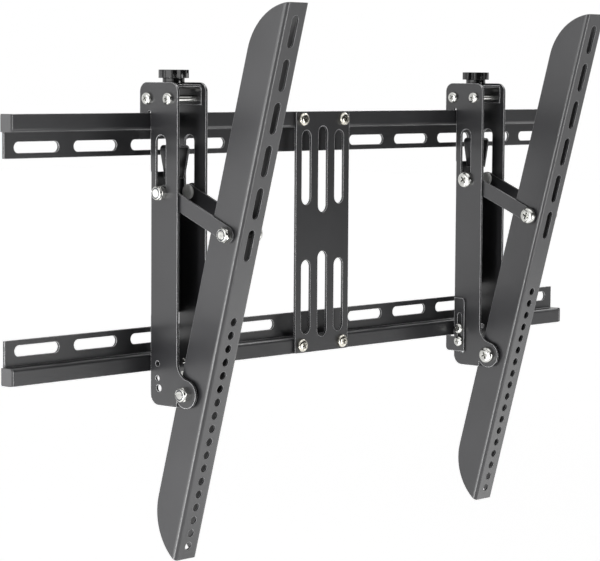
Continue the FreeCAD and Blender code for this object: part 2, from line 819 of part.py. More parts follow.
def arm(side, x):
    """Folded channel with boat-shaped ends, slots above and a row of round holes below."""
    face = -S.arm_fore
    rear = S.arm_depth - S.arm_fore
    rest = S.arm_end_radius - S.arm_depth
    rise = root(S.arm_end_radius * S.arm_end_radius - rest * rest)
    body = new_body(f"{side}_arm")
    side_view = new_sketch(body, "YZ")
    top = flat(face, S.arm_up)
    low = flat(face, -S.arm_down)
    rear_top = flat(rear, S.arm_up - rise)
    rear_low = flat(rear, rise - S.arm_down)
    radius = S.arm_end_radius.value
    lean = math.atan2(rise.value, rest.value)
    upper_centre = flat(rear - S.arm_end_radius, S.arm_up - rise)
    lower_centre = flat(rear - S.arm_end_radius, rise - S.arm_down)
    front_line = side_view.addGeometry(Part.LineSegment(top, low), False)
    lower_arc = side_view.addGeometry(
        Part.ArcOfCircle(Part.Circle(lower_centre, AXIS_Z, radius), -lean, 0), False)
    rear_line = side_view.addGeometry(Part.LineSegment(rear_low, rear_top), False)
    upper_arc = side_view.addGeometry(
        Part.ArcOfCircle(Part.Circle(upper_centre, AXIS_Z, radius), 0, lean), False)
    fix_point(side_view, front_line, 1, face, S.arm_up)
    fix_point(side_view, front_line, 2, face, -S.arm_down)
    side_view.addConstraint(Sketcher.Constraint("Coincident", front_line, 2, lower_arc, 1))
    side_view.addConstraint(Sketcher.Constraint("Tangent", lower_arc, 2, rear_line, 1))
    side_view.addConstraint(Sketcher.Constraint("Tangent", rear_line, 2, upper_arc, 1))
    side_view.addConstraint(Sketcher.Constraint("Coincident", upper_arc, 2, front_line, 1))
    side_view.addConstraint(Sketcher.Constraint("Vertical", rear_line))
    number = side_view.addConstraint(Sketcher.Constraint("DistanceX", -1, 1, rear_line, 1, rear.value))
    bind(side_view, f"Constraints[{number}]", rear)
    for arc in (lower_arc, upper_arc):
        number = side_view.addConstraint(Sketcher.Constraint("Radius", arc, radius))
        bind(side_view, f"Constraints[{number}]", S.arm_end_radius)
    pad(body, side_view, arm_width(), both_ways=True)
    half = arm_width() / 2
    round_edges(body, S.arm_bend + S.arm_sheet, "z", [{"x": hand * half, "y": face} for hand in (-1, 1)])
    channel = new_sketch(body, "XY")
    inner = half - S.arm_sheet
    polygon(channel, [(-inner, face + S.arm_sheet), (inner, face + S.arm_sheet), (inner, S.arm_depth),
                      (-inner, S.arm_depth)])
    cut(body, channel)
    round_edges(body, S.arm_bend, "z", [{"x": hand * inner, "y": face + S.arm_sheet} for hand in (-1, 1)])
    slots = new_sketch(body, "XZ")
    slot(slots, 0, S.arm_slot_first, S.arm_slot_length, S.arm_slot_width, upright=True)
    feature = cut(body, slots)
    row_of(body, feature, slots, "V_Axis", S.arm_slot_pitch * (ARM_SLOTS - 1), ARM_SLOTS, reverse=True)
    holes = new_sketch(body, "XZ")
    circle(holes, 0, S.arm_hole_first, S.arm_hole)
    feature = cut(body, holes)
    row_of(body, feature, holes, "V_Axis", S.arm_hole_pitch * (ARM_HOLES - 1), ARM_HOLES, reverse=True)
    pivots = new_sketch(body, "YZ")
    circle(pivots, 0, 0, S.bolt + 2 * S.bolt_fit)
    circle(pivots, -S.link_fore, S.link_up, S.bolt + 2 * S.bolt_fit)
    cut(body, pivots)
    place(body, x, -S.pivot_out, -pivot_drop(), AXIS_X, S.arm_tilt)
    return keep(body)


def through_bolt(label, span, head_side_gap, nut_reach):
    """Bolt along X, centred on a stack: pan head past +span, end past -span by the nut's reach."""
    start = span + head_side_gap
    shoulder = S.bolt_head_rise * 0.55
    crown = S.bolt_head * 0.32
    end = -(span + nut_reach)
    return turned(label, [(end, 0), (end, S.bolt / 2), (start, S.bolt / 2), (start, S.bolt_head / 2),
                          (start + shoulder, S.bolt_head / 2), (start + S.bolt_head_rise, crown),
                          (start + S.bolt_head_rise, 0)])


def pivot_fasteners(side, hand, x):
    """Pivot bolt through the lobes, its lock nut, and the spacers beside the arm."""
    half = S.bracket_width / 2
    nut_rise = S.nut_hex_rise + S.nut_collar_rise
    bolt = through_bolt(f"{side}_pivot_bolt", half, size_of(0), nut_rise + S.bolt_end)
    turn = 180 if hand > 0 else 0
    keep(place(bolt, x, -S.pivot_out, -pivot_drop(), AXIS_Z, turn))
    nut = lock_nut(f"{side}_pivot_nut", S.bolt + 2 * S.fit_gap)
    keep(place(nut, x + hand * half, -S.pivot_out, -pivot_drop(), AXIS_Z, 180 - turn))
    spacers = []
    bore = S.bolt / 2 + S.bolt_fit
    outer = half - S.bracket_sheet
    inner = arm_width() / 2 + S.turn_gap
    for step in (-1, 1):
        spacer = turned("pivot_spacer", [(step * inner, bore), (step * outer, bore),
                                         (step * outer, S.spacer_width / 2),
                                         (step * inner, S.spacer_width / 2)])
        spacers.append(place(spacer, x, -S.pivot_out, -pivot_drop()))
    group(f"{side}_pivot_spacers", spacers)


def link_joint():
    """Height and reach of the link bolt on the tilted arm."""
    y = -S.pivot_out - S.link_up * sine(S.arm_tilt) - S.link_fore * cosine(S.arm_tilt)
    z = S.link_up * cosine(S.arm_tilt) - S.link_fore * sine(S.arm_tilt) - pivot_drop()
    return y, z


def link_bolt(side, hand, x):
    """Bolt through the arm and both links, and its lock nut."""
    y, z = link_joint()
    span = arm_width() / 2 + S.link_gap + S.link_sheet + S.link_gap
    nut_rise = S.nut_hex_rise + S.nut_collar_rise
    bolt = through_bolt(f"{side}_link_bolt", span, size_of(0), nut_rise + S.bolt_end)
    turn = 180 if hand > 0 else 0
    keep(place(bolt, x, y, z, AXIS_Z, turn))
    nut = lock_nut(f"{side}_link_nut", S.bolt + 2 * S.fit_gap)
    keep(place(nut, x + hand * span, y, z, AXIS_Z, 180 - turn))


def links(side, x):
    """Flat bars from the arm's link bolt back to the slot bolts, one on each side of the arm."""
    y, z = link_joint()
    run = -S.bolt_out - y
    rise = S.bolt_height - z
    length = root(run * run + rise * rise)
    inner = arm_width() / 2 + S.link_gap
    for hand, which in ((-1, "a"), (1, "b")):
        body = new_body(f"{side}_link_{which}")
        bar = new_sketch(body, "YZ")
        slot(bar, length / 2, 0, length + S.link_width, S.link_width, upright=False)
        pad(body, bar, S.link_sheet, reverse=hand < 0)
        holes = new_sketch(body, "YZ")
        circle(holes, 0, 0, S.bolt + 2 * S.bolt_fit)
        circle(holes, length, 0, S.bolt + 2 * S.fit_gap)
        cut(body, holes)
        place(body, x + hand * inner, y, z, AXIS_X, slope_angle(rise, run))
        keep(body)


def slot_bolts(side, hand, x):
    """Short bolts that join the links to the slots: a disc inside, a head or a lock nut outside."""
    link_inner = arm_width() / 2 + S.link_gap
    plate_outer = S.bracket_width / 2 + S.turn_gap
    grip = plate_outer - link_inner
    disc = S.bolt_disc / 2
    shank = S.bolt / 2
    nut_rise = S.nut_hex_rise + S.nut_collar_rise
    reach = grip + nut_rise + S.bolt_end
    outer_bolt = turned("outer_slot_bolt", [(-S.bolt_disc_rise, 0), (-S.bolt_disc_rise, disc * 0.8),
                                            (-S.bolt_disc_rise * 0.45, disc), (0, disc), (0, shank),
                                            (reach, shank), (reach, 0)])
    turn = 0 if hand > 0 else 180
    back_turn = 180 - turn
    place(outer_bolt, x + hand * link_inner, -S.bolt_out, S.bolt_height, AXIS_Z, turn)
    outer_nut = lock_nut("outer_slot_nut", S.bolt + 2 * S.fit_gap)
    place(outer_nut, x + hand * plate_outer, -S.bolt_out, S.bolt_height, AXIS_Z, turn)
    inner_bolt = pan_screw("inner_slot_bolt", S.bolt, S.bolt_head, S.bolt_head_rise,
                           grip + S.bolt_disc_rise)
    place(inner_bolt, x - hand * plate_outer, -S.bolt_out, S.bolt_height, AXIS_Z, back_turn)
    bore = shank + S.fit_gap
    inner_nut = turned("inner_slot_nut", [(-S.bolt_disc_rise, bore), (-S.bolt_disc_rise, disc * 0.8),
                                          (-S.bolt_disc_rise * 0.45, disc), (0, disc), (0, bore)])
    place(inner_nut, x - hand * link_inner, -S.bolt_out, S.bolt_height, AXIS_Z, back_turn)
    group(f"{side}_slot_bolts", [outer_bolt, inner_bolt])
    group(f"{side}_slot_nuts", [outer_nut, inner_nut])


def latch(side, hand, x):
    """Hooked plate that slides on two screws and catches behind the lower rail's lip."""
    lip_end = -S.frame_height / 2
    shelf = lip_end - S.latch_lip_gap
    foot = shelf - S.latch_foot
    head = foot + S.latch_rise
    finger_front = S.rail_sheet + S.hook_gap - S.rail_depth
    finger_back = finger_front + S.latch_finger
    finger_end = lip_end + S.lip_height - S.latch_finger_drop
    inner = S.bracket_width / 2 + S.latch_gap
    body = new_body(f"{side}_latch_plate")
    outline = new_sketch(body, "YZ")
    polygon(outline, [(-S.latch_front, foot), (finger_back, foot), (finger_back, finger_end),
                      (finger_front, finger_end), (finger_front, shelf), (-S.latch_back, shelf),
                      (-S.latch_back, head), (-S.latch_front, head)])
    pad(body, outline, S.latch_sheet, reverse=hand < 0)
    round_edges(body, S.latch_corner, "x", [{"y": finger_back, "z": foot},
                                            {"y": -S.latch_front, "z": head}])
    guide = new_sketch(body, "YZ")
    length = S.latch_screw_pitch + S.latch_slot_travel + S.latch_screw + 4 * S.screw_clearance
    width = S.latch_screw + 2 * S.screw_clearance
    middle = (S.latch_screw_pitch + S.latch_slot_travel) / 2 - latch_screw_drop()
    slot(guide, -S.latch_screw_out, middle, length, width, upright=True)
    cut(body, guide)
    keep(place(body, x + hand * inner, 0, 0))
    screws = []
    seat = inner + S.latch_sheet + S.latch_gap
    reach = S.latch_sheet + 2 * S.latch_gap + S.bracket_sheet + S.latch_screw_reach
    for step in (0, 1):
        screw = pan_screw("latch_screw", S.latch_screw, S.latch_screw_head, S.latch_screw_head_rise, reach)
        z = step * S.latch_screw_pitch - latch_screw_drop()
        screws.append(place(screw, x + hand * seat, -S.latch_screw_out, z, AXIS_Z, 0 if hand > 0 else 180))
    nut = plain_nut("latch_nut", S.latch_nut_flats, S.latch_nut_rise, S.latch_screw + 2 * S.fit_gap)
    inside = x + hand * (S.bracket_width / 2 - S.bracket_sheet)
    place(nut, inside, -S.latch_screw_out, -latch_screw_drop(), AXIS_Z, 180 if hand > 0 else 0)
    group(f"{side}_latch_screws", screws + [nut])


def build():
    """Make every piece of the mount."""
    wall_rail("upper_rail", 1)
    wall_rail("lower_rail", -1)
    for level, up in (("upper", 1), ("lower", -1)):
        for side, hand in SIDES.items():
            end_cap(f"{level}_{side}_end_cap", up, hand)
    centre_plate()
    centre_fasteners()
    for side, hand in SIDES.items():
        x = S.left_position if hand < 0 else S.right_position
        bracket(f"{side}_bracket", x)
        bridge(f"{side}_bridge", x)
        bridge_fasteners(side, x)
        knob(side, x)
        carriage(side, x)
        arm(side, x)
        pivot_fasteners(side, hand, x)
        links(side, x)
        link_bolt(side, hand, x)
        slot_bolts(side, hand, x)
        latch(side, -hand, x)


def write_parts():
    """Check every feature and solid, then write one file for each piece."""
    for item in DOC.Objects:
        if "Invalid" in item.State or "Error" in item.State:
            raise RuntimeError(f"{item.Label} failed: {item.State}")
    for node in NODES:
        if node.Shape.isNull() or not node.Shape.isValid() or not node.Shape.Solids:
            raise RuntimeError(f"{node.Label} has no valid solid")
    os.makedirs("parts", exist_ok=True)
    for node in NODES:
        node.Shape.exportStep(f"parts/{node.Label}.step")


DOC = FreeCAD.newDocument("tilting_wall_mount")
S = make_sheet(DOC)
NODES = []
build()
DOC.recompute()
write_parts()
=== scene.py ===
"""Dresses the tilting wall mount: powder coat, plated fasteners, moulded knobs, studio and camera."""
import logging
import math
from dataclasses import dataclass, field
from enum import Enum

import bpy
from mathutils import Matrix, Vector


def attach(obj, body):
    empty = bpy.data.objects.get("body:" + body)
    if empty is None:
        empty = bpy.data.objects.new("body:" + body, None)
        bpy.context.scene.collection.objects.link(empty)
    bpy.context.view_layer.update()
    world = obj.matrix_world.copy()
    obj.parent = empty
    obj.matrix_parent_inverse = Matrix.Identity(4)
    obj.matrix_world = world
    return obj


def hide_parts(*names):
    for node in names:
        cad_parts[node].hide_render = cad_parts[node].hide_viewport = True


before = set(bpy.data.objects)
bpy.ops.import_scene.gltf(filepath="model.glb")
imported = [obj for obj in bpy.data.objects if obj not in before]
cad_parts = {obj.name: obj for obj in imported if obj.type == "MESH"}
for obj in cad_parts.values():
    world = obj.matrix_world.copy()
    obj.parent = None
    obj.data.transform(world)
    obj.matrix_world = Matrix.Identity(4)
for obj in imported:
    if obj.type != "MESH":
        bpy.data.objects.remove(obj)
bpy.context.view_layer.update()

logging.basicConfig(level=logging.INFO, format="%(message)s")
LOG = logging.getLogger("wall_mount")

MM = 0.001
IMAGE_WIDTH_PX = 600
SENSOR_MM = 36.0
NOISE_SPAN = (0.3, 0.7)
WAVE_SCALE = math.pi / 20
BORE_SIDES = 32
RING_SIDES = 48
ROUND_SIDES = 64


class Slot(Enum):
    """Material slots of the record."""

    STEEL = "powder_coated_steel"
    ZINC = "zinc_plated_steel"
    KNOB = "knob_plastic"
    CAP = "cap_plastic"


class Side(Enum):
    """The two hangers, with the side of the wall that each stands on."""

    LEFT = -1
    RIGHT = 1

    @property
    def word(self) -> str:
        """The side's name, as the nodes spell it."""
        return self.name.lower()


def linear(hex_colour: str) -> tuple[float, float, float, float]:
    """Turn an sRGB hex colour to linear light.

    Args:
        hex_colour: Six hex digits after a hash sign.

    Returns:
        Linear red, green and blue, with an alpha of 1.
    """
    channels = [int(hex_colour[at:at + 2], 16) / 255 for at in (1, 3, 5)]
    return (*[c / 12.92 if c <= 0.04045 else ((c + 0.055) / 1.055) ** 2.4 for c in channels], 1.0)


def per_mm(size_mm: float) -> float:
    """Texture scale whose features are about size_mm across, on coordinates in metres."""
    return 1.0 / (size_mm * MM)


def add_node(tree: bpy.types.NodeTree, kind: str, settings: dict | None = None,
             links: dict | None = None, **fields: object) -> bpy.types.Node:
    """Add a shader node with its socket values, links and fields.

    Args:
        tree: The node tree that it goes into.
        kind: The node's type.
        settings: Values by input socket name or number.
        links: Output sockets by input socket name or number.
        fields: Properties of the node itself.

    Returns:
        The new node.
    """
    node = tree.nodes.new(kind)
    for name, value in fields.items():
        setattr(node, name, value)
    for key, value in (settings or {}).items():
        node.inputs[key].default_value = value
    for key, socket in (links or {}).items():
        tree.links.new(socket, node.inputs[key])
    return node


def noise(tree: bpy.types.NodeTree, where: bpy.types.NodeSocket, size_mm: float,
          detail: float) -> bpy.types.NodeSocket:
    """Add noise with features of a known size.

    Args:
        tree: The node tree.
        where: Object coordinates in metres.
        size_mm: Rough size of a feature.
        detail: Octaves of finer noise.

    Returns:
        The noise factor's socket.
    """
    node = add_node(tree, "ShaderNodeTexNoise", {"Scale": per_mm(size_mm), "Detail": detail},
                    {"Vector": where})
    return node.outputs["Fac"]


def ramp(tree: bpy.types.NodeTree, factor: bpy.types.NodeSocket, low: str,
         high: str) -> bpy.types.NodeSocket:
    """Blend two colours over the span that noise covers.

    Args:
        tree: The node tree.
        factor: The noise factor.
        low: Hex colour at the start of the span.
        high: Hex colour at the end of the span.

    Returns:
        The colour's socket.
    """
    node = add_node(tree, "ShaderNodeValToRGB", links={"Fac": factor})
    for element, place, colour in zip(node.color_ramp.elements, NOISE_SPAN, (low, high)):
        element.position = place
        element.color = linear(colour)
    return node.outputs["Color"]


def spread(tree: bpy.types.NodeTree, factor: bpy.types.NodeSocket, low: float,
           high: float) -> bpy.types.NodeSocket:
    """Turn the span that noise covers to a range of values, as for uneven gloss.

    Args:
        tree: The node tree.
        factor: The noise factor.
        low: Value at the start of the span.
        high: Value at the end of the span.

    Returns:
        The value's socket.
    """
    start, end = NOISE_SPAN
    node = add_node(tree, "ShaderNodeMapRange",
                    {"From Min": start, "From Max": end, "To Min": low, "To Max": high}, {"Value": factor})
    return node.outputs["Result"]


@dataclass(frozen=True)
class Finish:
    """A surface finish; each kind adds its own nodes to a principled shader."""

    name: str

    def make(self) -> bpy.types.Material:
        """Build the material."""
        material = bpy.data.materials.new(self.name)
        material.use_nodes = True
        tree = material.node_tree
        shader = tree.nodes["Principled BSDF"]
        where = add_node(tree, "ShaderNodeTexCoord").outputs["Object"]
        self.dress(tree, shader, where)
        return material

    def dress(self, tree: bpy.types.NodeTree, shader: bpy.types.Node, where: bpy.types.NodeSocket) -> None:
        """Add the finish's nodes; the plain finish adds none."""


@dataclass(frozen=True)
class PowderCoat(Finish):
    """Black polyester powder coat, sprayed and baked on folded steel: satin, with a fine orange peel.
    A painted highlight in the base colour shows as pale lines round every outline and slot, along the
    sheet edges."""

    dark: str = "#1e1e20"
    light: str = "#272729"
    roughness_low: float = 0.36
    roughness_high: float = 0.46
    peel_mm: float = 1.1
    peel_depth_mm: float = 0.05
    peel_strength: float = 0.12
    drift_mm: float = 70.0
    edge_mm: float = 1.05
    edge_lean: tuple[float, float] = (0.96, 0.86)
    air_mm: float = 4.0
    open_air: tuple[float, float] = (0.6, 0.85)
    sheen: float = 0.3
    gloss_film: float = 0.75
    film_roughness: float = 0.24
    # pale colour of the painted highlight along outward sheet edges
    painted_highlight_colour: str = "#e0e0e2"

    def dress(self, tree: bpy.types.NodeTree, shader: bpy.types.Node, where: bpy.types.NodeSocket) -> None:
        """Colour drift of the baked film, peel in the surface, rounded sheet edges, and a painted
        highlight along them.

        Args:
            tree: The material's nodes.
            shader: The principled shader.
            where: Object coordinates in metres.
        """
        drift = noise(tree, where, self.drift_mm, detail=3.0)
        colour = ramp(tree, drift, self.dark, self.light)
        peel = noise(tree, where, self.peel_mm, detail=2.0)
        gloss = spread(tree, peel, self.roughness_low, self.roughness_high)
        tree.links.new(gloss, shader.inputs["Roughness"])
        edge = add_node(tree, "ShaderNodeBevel", {"Radius": self.edge_mm * MM}, samples=6)
        # painted highlight: the base colour turns pale along outward sheet edges, kept out of inner
        # corners
        highlighted = add_node(tree, "ShaderNodeMix", {7: linear(self.painted_highlight_colour)},
                          {0: self.painted_highlight_mask(tree, edge), 6: colour}, data_type="RGBA")
        tree.links.new(highlighted.outputs[2], shader.inputs["Base Color"])
        bump = add_node(tree, "ShaderNodeBump",
                        {"Strength": self.peel_strength, "Distance": self.peel_depth_mm * MM},
                        {"Height": peel, "Normal": edge.outputs["Normal"]})
        tree.links.new(bump.outputs["Normal"], shader.inputs["Normal"])
        shader.inputs["Specular IOR Level"].default_value = self.sheen
        shader.inputs["Coat Weight"].default_value = self.gloss_film
        shader.inputs["Coat Roughness"].default_value = self.film_roughness
        tree.links.new(edge.outputs["Normal"], shader.inputs["Coat Normal"])

    def painted_highlight_mask(self, tree: bpy.types.NodeTree, edge: bpy.types.Node) -> bpy.types.NodeSocket:
        """Painted highlight mask: 1 along outward edges and 0 on faces and in inner corners.

        Args:
            tree: The material's nodes.
            edge: The bevel node, whose normal leans over at edges.

        Returns:
            The factor's socket.
        """
        face = add_node(tree, "ShaderNodeNewGeometry").outputs["Normal"]
        lean = add_node(tree, "ShaderNodeVectorMath", links={0: edge.outputs["Normal"], 1: face},
                        operation="DOT_PRODUCT")
        start, end = self.edge_lean
        rim = add_node(tree, "ShaderNodeMapRange", {"From Min": start, "From Max": end},
                       {"Value": lean.outputs["Value"]})
        air = add_node(tree, "ShaderNodeAmbientOcclusion", {"Distance": self.air_mm * MM}, samples=6)
        start, end = self.open_air
        outside = add_node(tree, "ShaderNodeMapRange", {"From Min": start, "From Max": end},
                           {"Value": air.outputs["AO"]})
        both = add_node(tree, "ShaderNodeMath", operation="MULTIPLY",
                        links={0: rim.outputs["Result"], 1: outside.outputs["Result"]})
        return both.outputs[0]


@dataclass(frozen=True)
class ZincPlate(Finish):
    """Bright zinc plating on cold-headed steel: a clear metal with faint tumbling marks and dull spots."""

    dark: str = "#b0b0ad"
    light: str = "#d2d2ce"
    roughness_low: float = 0.14
    roughness_high: float = 0.22
    spot_mm: float = 3.0
    spot_depth_mm: float = 0.03
    spot_strength: float = 0.06
    thread_mm: float = 0.0
    thread_depth_mm: float = 0.6
    thread_strength: float = 0.9
    edge_mm: float = 0.25
    metal: float = 1.0

    def dress(self, tree: bpy.types.NodeTree, shader: bpy.types.Node, where: bpy.types.NodeSocket) -> None:
        """Cloudy plating, uneven gloss, and rolled thread where the finish asks for one.

        Args:
            tree: The material's nodes.
            shader: The principled shader.
            where: Object coordinates in metres.
        """
        cloud = noise(tree, where, self.spot_mm, detail=4.0)
        tree.links.new(ramp(tree, cloud, self.dark, self.light), shader.inputs["Base Color"])
        gloss = spread(tree, cloud, self.roughness_low, self.roughness_high)
        tree.links.new(gloss, shader.inputs["Roughness"])
        shader.inputs["Metallic"].default_value = self.metal
        edge = add_node(tree, "ShaderNodeBevel", {"Radius": self.edge_mm * MM}, samples=4)
        height, depth, strength = cloud, self.spot_depth_mm, self.spot_strength
        if self.thread_mm:
            wave = add_node(tree, "ShaderNodeTexWave", {"Scale": per_mm(self.thread_mm) * WAVE_SCALE},
                            {"Vector": where}, bands_direction="Z", wave_profile="TRI")
            height, depth, strength = wave.outputs["Fac"], self.thread_depth_mm, self.thread_strength
        bump = add_node(tree, "ShaderNodeBump", {"Strength": strength, "Distance": depth * MM},
                        {"Height": height, "Normal": edge.outputs["Normal"]})
        tree.links.new(bump.outputs["Normal"], shader.inputs["Normal"])


@dataclass(frozen=True)
class MouldedPlastic(Finish):
    """Injection-moulded black plastic: even colour, a fine spark-eroded grain, soft edges."""

    dark: str = "#0d0d0e"
    light: str = "#151516"
    roughness_low: float = 0.1
    roughness_high: float = 0.18
    grain_mm: float = 0.6
    grain_depth_mm: float = 0.03
    grain_strength: float = 0.2
    edge_mm: float = 0.5

    def dress(self, tree: bpy.types.NodeTree, shader: bpy.types.Node, where: bpy.types.NodeSocket) -> None:
        """Fine mould grain in colour, gloss and surface.

        Args:
            tree: The material's nodes.
            shader: The principled shader.
            where: Object coordinates in metres.
        """
        grain = noise(tree, where, self.grain_mm, detail=3.0)
        tree.links.new(ramp(tree, grain, self.dark, self.light), shader.inputs["Base Color"])
        gloss = spread(tree, grain, self.roughness_low, self.roughness_high)
        tree.links.new(gloss, shader.inputs["Roughness"])
        edge = add_node(tree, "ShaderNodeBevel", {"Radius": self.edge_mm * MM}, samples=4)
        bump = add_node(tree, "ShaderNodeBump",
                        {"Strength": self.grain_strength, "Distance": self.grain_depth_mm * MM},
                        {"Height": grain, "Normal": edge.outputs["Normal"]})
        tree.links.new(bump.outputs["Normal"], shader.inputs["Normal"])


@dataclass
class Finishes:
    """The materials of the mount, each made once."""

    coat: bpy.types.Material = field(init=False)
    arm_coat: bpy.types.Material = field(init=False)
    zinc: bpy.types.Material = field(init=False)
    warm_zinc: bpy.types.Material = field(init=False)
    satin_zinc: bpy.types.Material = field(init=False)
    thread: bpy.types.Material = field(init=False)
    nylon: bpy.types.Material = field(init=False)
    knob: bpy.types.Material = field(init=False)
    cap: bpy.types.Material = field(init=False)

    def __post_init__(self) -> None:
        """Make the materials."""
        self.coat = PowderCoat("black_powder_coat").make()
        # painted light: a lighter copy of the same black powder coat for the lit arms and links, with a
        # dimmer painted edge highlight
        self.arm_coat = PowderCoat("lighter_lit_black_powder_coat", dark="#222224", light="#2b2b2d",
                                   painted_highlight_colour="#8c8c8e").make()
        self.zinc = ZincPlate("bright_zinc_plate").make()
        self.warm_zinc = ZincPlate("yellow_tinted_zinc_plate", dark="#aeaba2", light="#d6d3c9").make()
        self.satin_zinc = ZincPlate("satin_zinc_plate", dark="#d0d0cd", light="#e0e0dd", metal=0.3,
                                    roughness_low=0.45, roughness_high=0.55).make()
        self.thread = ZincPlate("rolled_thread_zinc_plate", dark="#6f6f6d", light="#9c9c99",
                                thread_mm=1.0).make()
        self.nylon = MouldedPlastic("moulded_nylon_ring", dark="#3c4046", light="#4b5057").make()
        self.knob = MouldedPlastic("moulded_gloss_abs").make()
        self.cap = MouldedPlastic("moulded_matt_polypropylene", dark="#454546", light="#4f4f50",
                                  roughness_low=0.4, roughness_high=0.52, grain_depth_mm=0.06).make()


def paint(obj: bpy.types.Object, material: bpy.types.Material) -> None:
    """Give an object one material all over."""
    obj.data.materials.clear()
    obj.data.materials.append(material)


def paint_node(name: str, material: bpy.types.Material) -> None:
    """Give a CAD node's object a better material."""
    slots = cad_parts[name].material_slots
    for slot in slots:
        slot.material = material
    LOG.info("finished %s in %s", name, material.name)


def only(obj: bpy.types.Object) -> None:
    """Select one object alone and make it active."""
    bpy.ops.object.select_all(action="DESELECT")
    obj.select_set(True)
    bpy.context.view_layer.objects.active = obj


def pick_faces(obj: bpy.types.Object, z: float, normal_z: float) -> None:
    """Select, in edit mode, the faces that lie flat at one height.

    Args:
        obj: The object in edit mode.
        z: Height of the faces.
        normal_z: 1 for faces that look up, -1 for those that look down.
    """
    bpy.ops.mesh.select_all(action="DESELECT")
    bpy.ops.object.mode_set(mode="OBJECT")
    for face in obj.data.polygons:
        face.select = face.normal.z * normal_z > 0.99 and abs(face.center.z - z) < 0.01 * MM
    bpy.ops.object.mode_set(mode="EDIT")


def cylinder(name: str, radius: float, low: float, high: float, sides: int) -> bpy.types.Object:
    """Add a cylinder along Z.

    Args:
        name: Name of the object.
        radius: Radius in metres.
        low: Height of its foot.
        high: Height of its top.
        sides: Number of sides.

    Returns:
        The new object, selected alone.
    """
    bpy.ops.object.select_all(action="DESELECT")
    bpy.ops.mesh.primitive_cylinder_add(vertices=sides, radius=radius, depth=high - low,
                                        location=(0, 0, (high + low) / 2))
    obj = bpy.context.object
    obj.name = name
    bpy.ops.object.transform_apply(location=True, rotation=True, scale=True)
    return obj


def boolean(obj: bpy.types.Object, tool: bpy.types.Object, operation: str) -> None:
    """Apply a boolean with a tool object, and remove the tool.

    Args:
        obj: The object that is cut.
        tool: The cutting object.
        operation: DIFFERENCE, INTERSECT or UNION.
    """
    only(obj)
    modifier = obj.modifiers.new("cut", "BOOLEAN")
    modifier.operation = operation
    modifier.solver = "EXACT"
    modifier.object = tool
    bpy.ops.object.modifier_apply(modifier=modifier.name)
    bpy.data.objects.remove(tool, do_unlink=True)


def smooth(obj: bpy.types.Object, degrees: float = 35.0) -> None:
    """Shade smooth, with sharp edges past an angle."""
    only(obj)
    bpy.ops.object.shade_smooth_by_angle(angle=math.radians(degrees))


def join(name: str, pieces: list[bpy.types.Object]) -> bpy.types.Object:
    """Join objects into one.

    Args:
        name: Name of the joined object.
        pieces: The objects, the first of which stays.

    Returns:
        The joined object.
    """
    bpy.ops.object.select_all(action="DESELECT")
    for piece in pieces:
        piece.select_set(True)
    bpy.context.view_layer.objects.active = pieces[0]
    if len(pieces) > 1:
        bpy.ops.object.join()
    pieces[0].name = name
    return pieces[0]


def aim(place: Vector, direction: Vector, spin: float = 0.0) -> Matrix:
    """Matrix that puts a piece made along +Z at a place, along a direction.

    Args:
        place: Where the piece's origin goes, in millimetres.
        direction: Where its +Z goes.
        spin: Turn about its own axis, in degrees.

    Returns:
        The transform, in metres.
    """
    turn = Vector((0, 0, 1)).rotation_difference(direction).to_matrix().to_4x4()
    return Matrix.Translation(place * MM) @ turn @ Matrix.Rotation(math.radians(spin), 4, "Z")


def stamp(name: str, template: bpy.types.Object, places: list[Matrix]) -> bpy.types.Object:
    """Copy a template to several places, each copy with its own mesh, and join the copies.

    Args:
        name: Name of the joined object.
        template: The piece made along +Z.
        places: Where each copy goes.

    Returns:
        The joined object.
    """
    copies = []
    for place in places:
        mesh = template.data.copy()
        mesh.transform(place)
        copy = bpy.data.objects.new(name, mesh)
        bpy.context.scene.collection.objects.link(copy)
        copies.append(copy)
    return join(name, copies)


def fit(piece: bpy.types.Object, body: str, node: str) -> None:
    """Hand a finished piece over: it rides on a body and stands for a CAD node.

    Args:
        piece: The finished piece.
        body: The CAD body that it rides on.
        node: The CAD node that it replaces.
    """
    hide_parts(node)
    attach(piece, body)
    LOG.info("made %s for %s", piece.name, node)


def soften(obj: bpy.types.Object, width_mm: float, degrees: float = 50.0) -> None:
    """Bevel an object's edges past an angle.

    Args:
        obj: The object.
        width_mm: Width of the bevel.
        degrees: Smallest angle between faces that is bevelled.
    """
    only(obj)
    modifier = obj.modifiers.new("rim", "BEVEL")
    modifier.width = width_mm * MM
    modifier.segments = 4
    modifier.limit_method = "ANGLE"
    modifier.angle_limit = math.radians(degrees)
    bpy.ops.object.modifier_apply(modifier=modifier.name)


